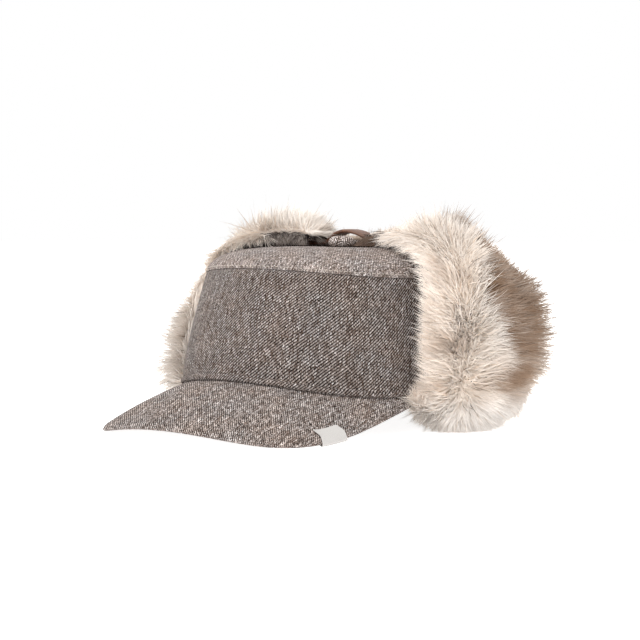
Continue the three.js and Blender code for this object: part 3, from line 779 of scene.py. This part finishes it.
def lie_over(p, n, t, front):
    """Which way the hair lies: back from the free front edge, up at the top and down at the foot."""
    round_head = np.stack([np.cos(np.radians(t)), np.sin(np.radians(t)), 0 * t], -1)
    back = 1.0 if front is None else 0.95 * np.tanh((t - np.degrees(front) - 2.2) / 3.2)
    back = back * np.where(t > 135, 1 - smooth(t, 135, 178), 1.0) * np.where(t > 112, 0.8, 1.0)
    lie = round_head * back[..., None] + np.array([0, 0, 1.0]) * rising(p[..., 2])[..., None]
    return lie - n * (lie * n).sum(-1, keepdims=True) * 0.9


def patch_main(panel):
    def at(a, u):
        p, n, cloth, t, _ = pile_place(a, u, panel)
        return p, n, cloth, t, lie_over(p, n, t, panel(a, u)[3])
    return at


def patch_front(panel):
    """The round front end of an ear flap's pile, from the crown at 0 to the crest of its edge at 1."""
    def at(a, u):
        p, _, cloth, t, away = pile_place(np.zeros_like(a), u, panel)
        ahead = np.stack([-np.cos(np.radians(t)), -np.sin(np.radians(t)), 0 * t], -1)
        out = p - cloth
        turn = (np.pi / 2 * a)[..., None]
        reach = mix(20.0, 8.3, smooth(p[..., 2], 4, 17))[..., None]
        place = cloth + ahead * reach * np.cos(turn) + out * np.sin(turn)
        depth = np.linalg.norm(out, axis=-1, keepdims=True) + 2.0
        facing = unit(ahead * np.cos(turn) / reach + out / depth ** 2 * np.sin(turn) + 0.02 * away)
        lie = unit(ahead * np.sin(turn) * reach - unit(out) * np.cos(turn) * depth)
        lie = lie * (1 - 0.5 * smooth(a, 0.55, 1.0))[..., None]
        up_there = mix(0.9 * rising(p[..., 2]), -0.5, smooth(p[..., 2], 88, 100))
        lie = lie + np.array([0, 0, 1.0]) * up_there[..., None]
        return place, facing, cloth, t, lie - facing * (lie * facing).sum(-1, keepdims=True) * 0.9
    return at


def patch_tip(panel):
    """The free end of a flap's pile, from the cloth at 0 out to the crest at 1."""
    def at(a, u):
        p, n, cloth, t, away = pile_place(a, np.ones_like(a), panel)
        ahead = unit(p - pile_place(a, np.full_like(a, 0.97), panel)[0])
        lie = ahead + away * (0.9 * u - 0.55)[..., None]
        return mix(cloth, p, u[..., None]), unit(ahead + n * (0.9 * u)[..., None]), cloth, t, lie
    return at


def clear_of_cloth(p):
    """Moves points off the crown and the floor."""
    up = np.clip((p[..., 2] - 30) / 55, 0, 1)
    rx, ry, cy = mix(RIM_X, TOP_X, up) + 2.4, mix(RIM_Y, TOP_Y, up) + 2.4, TOP_CY * up
    x, y = p[..., 0], p[..., 1] - cy
    g = np.sqrt((x / rx) ** 2 + (y / ry) ** 2) + 1e-9
    dome = mix(seam_height(p[..., 1]), PLATEAU + PLATEAU_SLOPE * p[..., 1],
               np.sqrt(np.maximum(1 - g ** SHOULDER, 0))) + 0.8
    k = np.where((g < 1) & (p[..., 2] > 24) & (p[..., 2] < 84), 1 / g, 1)
    z = np.where((g < 1) & (p[..., 2] >= 84), np.maximum(p[..., 2], dome), p[..., 2])
    return np.stack([x * k, y * k + cy, np.maximum(z, 0.4)], -1)


def bearing_of(p):
    return np.degrees(np.arctan2(np.abs(p[..., 0]) / RIM_X, -p[..., 1] / RIM_Y))


# height, and the angles round the head between which the brown band runs there
BAND = np.array([(0, 102, 118), (20, 94, 119), (43, 93, 121), (50, 93, 122), (60, 91.5, 123), (75, 89.5, 126),
                 (84, 91.5, 127), (94, 95, 128), (105, 99, 128), (115, 108, 128)], float)


def zones(p, mirror):
    """Root, middle and tip colours of the hair by its place, with painted shade and painted light in places.
    """
    z, t = p[..., 2], bearing_of(p)
    q = p * 0.03 + (50.0 if mirror else 0.0)
    n1, n2, n3 = noise(q, 21), noise(q * 2.6, 22), noise(p * 0.16, 23)
    above_foot = smooth(z, 8, 26)
    near, far = look_up(z, BAND, 1), look_up(z, BAND, 2)
    wander = t + 1.8 * n1 + 2.2 * n2
    band = smooth(wander, near - 2.5, near + 2.5) * (1 - smooth(wander, far - 3, far + 4))
    band = band * (0.88 + 0.22 * n3) * mix(above_foot, 0.5, (1 - smooth(z, 30, 48)) * above_foot)
    rear = smooth(t, 128, 150) * smooth(n1 + 0.45 * n2 + 0.25, 0.0, 0.55) * smooth(z, 12, 40)
    low_patch = 1 - smooth(np.hypot((t - 99) / 12, (z - 31) / 10) + 0.3 * n3, 0.55, 1.2)
    brown = np.clip(np.maximum(np.maximum(band, 0.8 * rear), 0.75 * low_patch), 0, 1)
    tan = 0.5 * smooth(n2 + 0.5 * n3, 0.15, 0.7) * (1 - smooth(z, 96, 112)) * smooth(z, 14, 34)
    tan = np.maximum(tan, 1.15 * low_patch)
    pale = smooth(z, 90, 104) * (1 - smooth(np.hypot(p[..., 0], p[..., 1]), 56, 70))
    if mirror:  # the right flap's front and top stay pale
        pale = np.maximum(np.maximum(1 - smooth(t, 95, 103), pale), smooth(z, 84, 100) * (p[..., 1] < 38))
    brown, tan = brown * (1 - pale), tan * (1 - pale)
    grey = np.clip((1 - above_foot) + 0.6 * smooth(z, 108, 120) * (t > 95), 0, 1)
    beside = 1 - smooth(np.abs(t - near + 1.0) / 4.0, 0.4, 1.2)
    grey = np.maximum(grey, 0.4 * beside * smooth(z, 40, 56) * (1 - smooth(z, 96, 108)))
    if mirror:
        grey = np.maximum(grey, 0.8 * (1 - smooth(t, 88, 98)) * (1 - smooth(z, 50, 80)))

    def over(base, colour, share):
        return base + (np.array(colour) - base) * share[..., None]
    one = np.ones(p.shape[:-1] + (3,))
    # where grey, the roots are lightened to a pale cream; at the foot this is painted light against the shade
    # beneath the fur
    root = over(over(one * UNDER, (0.30, 0.19, 0.12), brown), (0.92, 0.86, 0.80), grey * 0.8)
    middle = over(over(over(one * CREAM, TAN, tan * 0.8), GREY, grey * 0.8), BROWN, brown)
    tip = over(over(over(one * CREAM_TIP, TAN, tan * 0.8), GREY_TIP, grey), mix(BROWN, TAN, 0.25), brown)
    dark_tips = (0.0 if mirror else 0.7) * smooth(z, 115, 121) * (1 - smooth(np.abs(t - 101) / 4, 0.3, 1.2))
    # painted light: on the right flap's pale front and top, roots and middles are lightened towards the tip
    # colour to lift the shade on that hair
    if mirror:
        root, middle = over(root, CREAM_TIP, 0.7 * pale), over(middle, CREAM_TIP, 0.6 * pale)
    # painted shade: the hair's middles and tips darker at the foot, and at the top of the left flap's front
    # half
    painted_shade = 1 - 0.08 * smooth(z, 96, 112) * (t < 96) * (not mirror) - 0.07 * (1 - smooth(z, 8, 28))
    painted_shade = painted_shade[..., None]
    return root, middle * painted_shade, over(tip, BROWN_TIP, dark_tips * (1 - pale)) * painted_shade


def kd_of(points):
    tree = KDTree(len(points))
    for k, p in enumerate(points.tolist()):
        tree.insert(p, k)
    tree.balance()
    return tree


def paint(ob, tones):
    layer = ob.data.color_attributes.new(name="Fur", type="FLOAT_COLOR", domain="POINT")
    full = np.concatenate([tones, np.ones((len(tones), 1))], 1).astype(np.float32)
    layer.data.foreach_set("color", full.reshape(-1))


ROWS, COLUMNS = 40, 80  # cells of a patch that hairs are dealt to


def rooted(patches, count, gen):
    """Even random places over several patches: where each hair stands, and how it lies there."""
    weights, places = [], []
    for k, (patch, (a0, a1), (u0, u1), dense, reach) in enumerate(patches):
        a, u = grid(ROWS + 1, COLUMNS + 1, (a0, a1), (u0, u1))
        p = patch(a, u)[0]
        d0, d1 = p[1:, :-1] - p[:-1, :-1], p[:-1, 1:] - p[:-1, :-1]
        area = np.linalg.norm(np.cross(d0, d1), axis=-1) * dense
        weights.append(area.reshape(-1))
        places.append(np.stack([np.full(area.size, k), a[:-1, :-1].reshape(-1), u[:-1, :-1].reshape(-1)], 1))
    weights, places = np.concatenate(weights), np.concatenate(places)
    pick = places[gen.choice(len(weights), count, p=weights / weights.sum())]
    jitter = gen.random((count, 2))
    p, n, cloth, lie = (np.zeros((count, 3)) for _ in range(4))
    t, long = np.zeros(count), np.zeros(count)
    for k, (patch, (a0, a1), (u0, u1), dense, reach) in enumerate(patches):
        mine = pick[:, 0] == k
        a = pick[mine, 1] + jitter[mine, 0] * (a1 - a0) / ROWS
        u = pick[mine, 2] + jitter[mine, 1] * (u1 - u0) / COLUMNS
        p[mine], n[mine], cloth[mine], t[mine], lie[mine] = patch(a, u)
        long[mine] = reach
    return p, n, cloth, t, lie, long


STEPS = 5
# the furthest that any hair reaches to the side (axis 0) and up (axis 2)
HAIR_REACH = ((0, 137.0), (2, 139.8))
# height, and the share of their full length that the hairs by the right flap's front edge have there
RIGHT_EDGE = np.array([(8, 1.9), (28, 1.7), (46, 1.3), (60, 1.0), (78, 0.6), (106, 0.5), (114, 0.72)], float)


def hair_paths(roots, length, mirror, dark, gen):
    """Points along each hair, the number of clumps, and the hair that leads each hair's clump."""
    p, n, cloth, t, lie, reach = roots
    count, z = len(p), p[:, 2]
    full = np.clip(np.linalg.norm(p - cloth, axis=1) / 14, 0.45, 1)
    swirl = np.stack([noise(p * 0.05, 31), noise(p * 0.05, 32), noise(p * 0.05, 33)], -1)
    lie = lie + 0.45 * swirl + 0.24 * gen.normal(size=(count, 3))
    lost = 0.35 * np.clip(1 - np.linalg.norm(lie, axis=1, keepdims=True) / 0.8, 0, 1)
    lie = lie + lost * gen.normal(size=(count, 3))
    lie = lie / np.maximum(np.linalg.norm(lie, axis=1, keepdims=True), 0.7)
    # from the side to the back corner, at mid height, hair is shorter and more of it stands out in wisps
    round_side = smooth(t, 102, 112) * (1 - smooth(t, 140, 160)) * smooth(z, 14, 40)
    round_side = round_side * (1 - smooth(z, 66, 96))
    wisp = gen.random(count) < 0.12 + 0.16 * round_side
    guard = np.where(wisp, 1.3 + 0.15 * round_side, 1 - 0.32 * round_side)
    behind = smooth(t, 96, 104)
    foot = mix(mix(0.65, 0.5, behind), 1.0, smooth(z, 4, mix(26, 52, behind)))
    foot = foot * (1 - 0.35 * smooth(t, 97, 103) * smooth(z, 72, 90))
    long = length * (0.62 + 0.43 * gen.random(count)) * mix(0.6, 1.0, full) * reach * guard * foot
    edge = 1 - smooth(t, 90, 102)
    if mirror and not dark:
        long = long * mix(1.0, look_up(z, RIGHT_EDGE), edge)
    start = unit(n * 0.9 + lie * 0.75)
    loft = 0.06 + 0.30 * wisp + 0.22 * smooth(z, 98, 114) * (np.hypot(p[:, 0], p[:, 1]) > 48)
    loft = loft + round_side * np.where(wisp, 0.9, 0.25)
    if mirror:
        loft = loft + edge * (0.5 * (1 - smooth(z, 40, 70)) + 0.1 * smooth(z, 106, 114))
    if dark:
        lie = lie + np.array([0, 0, -0.3])
    finish = unit(n * loft[:, None] + lie + np.array([0, 0, -0.05]))
    points = [p - n * (6.5 * full)[:, None]]
    for k in range(1, STEPS):
        share = (k - 0.5) / (STEPS - 1)
        points.append(points[-1] + unit(mix(start, finish, share ** 0.85)) * (long / (STEPS - 1))[:, None])
    path = np.stack(points, 1)

    guides = max(8, count // 18)
    tree = kd_of(path[:guides, 0])
    owner = np.array([tree.find(r)[1] for r in path[:, 0].tolist()])
    pull = (0.06 + 0.42 * gen.random(guides))[owner]
    share = np.linspace(0, 1, STEPS)
    path = path + (path[:guides][owner] - path) * (pull[:, None] * share[None] ** 1.3)[..., None]
    wave = gen.normal(size=(guides, 3))[owner] * 0.9 + gen.normal(size=(count, 3)) * 0.7
    path = path + wave[:, None] * (share[None] ** 2 * np.cos(share * 4.0)[None])[..., None]
    room = np.ones(count)
    for axis, most in HAIR_REACH:
        gone = path[..., axis].max(1) - path[:, 0, axis]
        room = np.minimum(room, (most - path[:, 0, axis]) / np.maximum(gone, 0.1))
    path = path[:, :1] + (path - path[:, :1]) * np.clip(room, 0.15, 1)[:, None, None]
    path[:, 1:] = clear_of_cloth(path[:, 1:])
    return path, guides, owner


def hair_tones(path, guides, owner, mirror, dark, gen):
    """The colour of each hair at each of its steps."""
    count = len(path)
    root, middle, tip = zones(path[:, 3], mirror)
    if dark:
        # the dark hair's near black is partly its own colour and partly painted shade under the flap tips
        dark_tip = mix(BROWN_TIP, GREY, 0.45 if mirror else 0.05)
        root, middle, tip = (np.zeros_like(root) + tone for tone in (DARK, 1.6 * DARK, dark_tip))
    light = ((1 + 0.03 * gen.normal(size=guides))[owner] + 0.06 * gen.normal(size=count))[:, None]
    if dark:
        light = light * (0.35 + 1.3 * gen.random(count))[:, None]
    kind = gen.random(count)
    odd = (kind < 0.008)[:, None]
    fleck = ((kind > 0.06) & (kind < 0.12))[:, None]
    middle = np.where(odd, BROWN, np.where(fleck, middle * [0.86, 0.77, 0.68], middle)) * light
    tip = np.where(odd, BROWN_TIP, np.where(fleck, tip * [0.9, 0.83, 0.76], tip)) * light
    return np.stack([root, mix(root, middle, 0.65), middle, mix(middle, tip, 0.7), tip], 1)


def per_vertex(steps):
    """Values for a ribbon's nine vertices, two at each step and one at its tip."""
    return np.concatenate([np.repeat(steps[:, :-1], 2, axis=1), steps[:, -1:]], 1)


def fur_strands(name, patches, count, seed, mirror, length, width, dark):
    """Tapered ribbons of hair, gathered in soft clumps, rooted over patches of the pile's surface."""
    gen = np.random.default_rng(seed)
    roots = rooted(patches, count, gen)
    n = roots[1]
    path, guides, owner = hair_paths(roots, length, mirror, dark, gen)
    along = unit(np.gradient(path, axis=1))
    side = unit(np.cross(along, n[:, None] + 0.35 * gen.normal(size=(count, 1, 3))))
    half = 0.5 * width * (0.7 + 0.6 * gen.random(count))[:, None] * np.array([[0.8, 1.0, 0.85, 0.5]])
    spread = side[:, :-1] * half[..., None]
    pairs = np.stack([path[:, :-1] - spread, path[:, :-1] + spread], 2).reshape(count, -1, 3)
    verts = np.concatenate([pairs, path[:, -1:]], 1)
    verts[..., 2] = np.maximum(verts[..., 2], 0.3)
    tones = np.clip(per_vertex(hair_tones(path, guides, owner, mirror, dark, gen)), 0.01, 0.97)

    facing = unit(np.cross(side, along))
    facing = facing * np.sign((facing * n[:, None]).sum(-1, keepdims=True) + 1e-6)
    soft = per_vertex(unit(1.0 * n[:, None] + 0.25 * facing + 0.15 * along))
    faces = [0, 1, 3, 2, 2, 3, 5, 4, 4, 5, 7, 6, 6, 7, 8]
    if mirror:
        verts, soft = verts * MIRROR, soft * MIRROR
        faces = [1, 0, 2, 3, 3, 2, 4, 5, 5, 4, 6, 7, 7, 6, 8]
    per_hair = verts.shape[1]
    loops = (np.array(faces)[None] + per_hair * np.arange(count)[:, None]).reshape(-1)
    # each hair has its own cell of a square map, with the hair's length up the cell
    cells = int(math.ceil(math.sqrt(count)))
    cell = np.stack([np.arange(count) % cells, np.arange(count) // cells], -1) / cells
    corner = np.array([(x, y) for y in (0.1, 0.3, 0.5, 0.7) for x in (0.2, 0.8)] + [(0.5, 0.9)]) / cells
    uv = (cell[:, None] + corner[None]).reshape(-1, 2)
    ob = mesh_object(name, verts.reshape(-1, 3), loops, np.tile([4, 4, 4, 3], count), uv[loops], "OFBake")
    paint(ob, tones.reshape(-1, 3))
    ob.data.normals_split_custom_set_from_vertices(soft.reshape(-1, 3).tolist())
    return ob


def undercoat(name, panel, n, m, part=(0.0, 1.0), mirror=False):
    """The dense short hair below, a soft mass that the long hair stands in."""
    across, up = grid(n, m, part)
    p, normal, cloth, t, _ = pile_place(across, up, panel)
    full = np.clip(np.linalg.norm(p - cloth, axis=-1) / 14, 0.25, 1)
    outer = p - normal * ((1.9 + 0.8 * noise(p * 0.12, 41)) * full)[..., None]
    outer[..., 2] = np.maximum(outer[..., 2], 0.6)
    uv = np.stack([arc(p, 0)[:, m // 2:m // 2 + 1] + 0 * t, arc(p, 1)], -1)
    if mirror:
        outer, cloth = outer * MIRROR, cloth * MIRROR
    ob = shell(name, outer, cloth, uv, uv + 300)
    pts = np.empty(len(ob.data.vertices) * 3, np.float32)
    ob.data.vertices.foreach_get("co", pts)
    pts = (pts.reshape(-1, 3).astype(float) - SHIFT) / MM
    root, middle, _ = zones(pts, mirror)
    paint(ob, np.minimum(mix(root, middle, 0.4) * 1.05, 0.96))
    return ob


# The pieces

crown_weave = tweed("tweed_crown", pitch=0.48, gain=0.635, loose=0.35)
top_weave = tweed("tweed_top", pitch=0.34, gain=1.08, loose=0.8, lean=-1.0, stretch=2.0, soft=0.25)
peak_weave = tweed("tweed_peak", pitch=0.40, gain=0.90, loose=0.9, lean=-1.0, stretch=3.0, soft=0.1)
hem_weave = tweed("tweed_hem", pitch=0.46, gain=0.68, loose=0.2)
button_weave = tweed("tweed_button", pitch=0.50, gain=1.4, chevron=6.0, loose=0.2)
pile = fur_material("fur_pile")
thread = thread_material("seam_thread", (0.52, 0.46, 0.40))

finish_piece(make_crown(), crown_weave, "tweed", "crown_wall")
finish_piece(make_top(), top_weave, "tweed", "crown_top")
finish_piece(make_peak(), peak_weave, "tweed", "peak")
finish_piece(make_hem(), hem_weave, "tweed")
finish_piece(make_stitches(), thread, "tweed")
finish_piece(make_label(), woven_tape("label_weave", (0.50, 0.48, 0.46)), "label_cloth", "label_tab")
finish_piece(make_button(), button_weave, "tweed", "top_button")
finish_piece(make_strap(), hide("strap_hide", (0.15, 0.062, 0.032)), "leather", "flap_strap")
finish_piece(make_flap("ear_flap_cloth_left", ear_grid, 15, 60), crown_weave, "tweed", "ear_flap_left")
finish_piece(make_flap("ear_flap_cloth_right", ear_grid, 15, 60, mirror=True), crown_weave, "tweed",
             "ear_flap_right")
finish_piece(make_flap("neck_flap_cloth", neck_grid, 61, 40), crown_weave, "tweed", "neck_flap")

whole, half, rows = (0.0, 1.0), (0.0, 0.5), (0.02, 0.998)
finish_piece(undercoat("undercoat_left", ear_grid, 20, 60), pile, "cream_fur", "ear_fur_left")
finish_piece(undercoat("undercoat_right", ear_grid, 20, 60, mirror=True), pile, "cream_fur", "ear_fur_right")
finish_piece(undercoat("undercoat_neck_left", neck_grid, 36, 44, half), pile, "cream_fur", "neck_fur")
finish_piece(undercoat("undercoat_neck_right", neck_grid, 36, 44, half, True), pile, "cream_fur")

few = 1.0


def hair(name, count, seed, patches, mirror=False, length=22.0, dark=False):
    """Hair over patches of surface, each with its range across and up, its density and its reach."""
    width = 0.44 / math.sqrt(few)
    strands = fur_strands(name, patches, int(count * few), seed, mirror, length, width, dark)
    finish_piece(strands, pile, "brown_fur" if dark else "cream_fur")


ear_main, ear_front, ear_tip = patch_main(ear_grid), patch_front(ear_grid), patch_tip(ear_grid)
neck_main, neck_tip = patch_main(neck_grid), patch_tip(neck_grid)
NECK = [(neck_main, half, rows, 1.0, 1.0), (neck_tip, half, whole, 1.0, 1.0)]
hair("hair_ear_left_front", 27000, 11, [
    (ear_main, (0.0, 0.45), (0.02, 0.86), 1.0, 1.0), (ear_main, (0.0, 0.45), (0.86, 0.93), 1.1, 0.6),
    (ear_main, (0.0, 0.45), (0.93, 0.998), 1.1, 0.3), (ear_front, whole, (0.02, 0.84), 1.5, 1.0),
    (ear_front, whole, (0.84, 0.93), 1.5, 0.6), (ear_front, whole, (0.93, 0.998), 1.4, 0.35),
    (ear_tip, whole, whole, 1.4, 0.25)])
hair("hair_ear_left_back", 20000, 12, [
    (ear_main, (0.45, 1.0), (0.02, 0.86), 1.0, 1.0), (ear_main, (0.45, 1.0), (0.86, 0.998), 1.1, 0.55)])
hair("hair_ear_right", 27000, 13, [
    (ear_main, whole, (0.02, 0.7), 1.0, 1.0), (ear_main, whole, (0.7, 0.88), 1.2, 1.35),
    (ear_main, whole, (0.88, 0.998), 1.2, 1.15), (ear_front, whole, (0.02, 0.6), 1.5, 1.0),
    (ear_front, whole, (0.6, 0.84), 1.7, 1.7), (ear_front, (0.4, 1.0), (0.84, 0.998), 1.3, 0.7),
    (ear_tip, whole, (0.5, 1.0), 1.5, 1.3)], mirror=True)
hair("hair_neck_left", 27000, 14, NECK)
hair("hair_neck_right", 16500, 15, NECK, mirror=True)
# the dark hair where the strap meets the flaps, near black partly in its own colour and partly as painted
# shade under the flap tips
hair("hair_dark_left", 3600, 16, [
    (ear_tip, (0.0, 0.8), (0.0, 0.6), 1.0, 1.0), (ear_front, (0.0, 0.4), (0.93, 1.0), 1.0, 1.0)],
    length=17.0, dark=True)
hair("hair_dark_right", 4200, 17, [
    (ear_tip, whole, (0.0, 0.3), 1.0, 1.0), (ear_front, (0.0, 0.6), (0.80, 1.0), 1.8, 1.0)],
    mirror=True, length=13.0, dark=True)


# Studio

def studio_surface():
    """A pale floor that gives some light of its own, so that the shadows on it stay soft."""
    s = Shader("studio_floor", roughness=1.0, specular=0.0)
    s.put(s.bsdf.inputs["Emission Color"], (1, 1, 1, 1))
    s.put(s.bsdf.inputs["Emission Strength"], 0.88)
    return s.colour((0.90, 0.90, 0.90, 1))


def face_along(ob, direction):
    ob.rotation_mode = "QUATERNION"
    ob.rotation_quaternion = direction.to_track_quat("-Z", "Y")


def softbox(name, where, towards, size, power):
    data = bpy.data.lights.new(name, "AREA")
    data.size = size
    data.energy = power
    ob = add_object(name, data)
    ob.location = where
    face_along(ob, Vector(towards) - Vector(where))


floor_mesh = bpy.data.meshes.new("studio_floor")
floor_mesh.from_pydata([(-9, -9, 0), (9, -9, 0), (9, 9, 0), (-9, 9, 0)], [], [(0, 1, 2, 3)])
floor_mesh.materials.append(studio_surface())
floor = add_object("studio_floor", floor_mesh)

world = bpy.data.worlds.new("studio")
bpy.context.scene.world = world
world.use_nodes = True
sky = next(n for n in world.node_tree.nodes if n.type == "BACKGROUND")
sky.inputs["Color"].default_value = (1, 1, 1, 1)
sky.inputs["Strength"].default_value = 1.0
softbox("top_softbox", (-0.15, -0.5, 1.5), (0, 0, 0.05), 1.4, 19.0)
softbox("front_softbox", (0.3, -1.9, 0.9), (0, 0, 0.06), 1.3, 12.0)

# The camera, fitted to the photograph: millimetres and degrees, with the focal length in pixels
AZIMUTH, ELEVATION, DISTANCE, FOCAL, PICTURE = 39.36, 3.0, 1100.0, 1821.6, 640.0
AIM_RIGHT, AIM_UP, SENSOR = -10.75, 60.5, 36.0
a, e = math.radians(AZIMUTH), math.radians(ELEVATION)
back = np.array([math.sin(a) * math.cos(e), -math.cos(a) * math.cos(e), math.sin(e)])
aim = np.array([math.cos(a), math.sin(a), 0.0]) * AIM_RIGHT + np.array([0, 0, AIM_UP])
camera_data = bpy.data.cameras.new("camera")
camera_data.sensor_width = SENSOR
camera_data.lens = FOCAL * SENSOR / PICTURE
camera_data.clip_start, camera_data.clip_end = 0.01, 60.0
camera = add_object("camera", camera_data)
camera.location = (aim + back * DISTANCE) * MM + SHIFT
face_along(camera, Vector(-back))
bpy.context.scene.camera = camera
bpy.context.scene.view_settings.view_transform = "Standard"
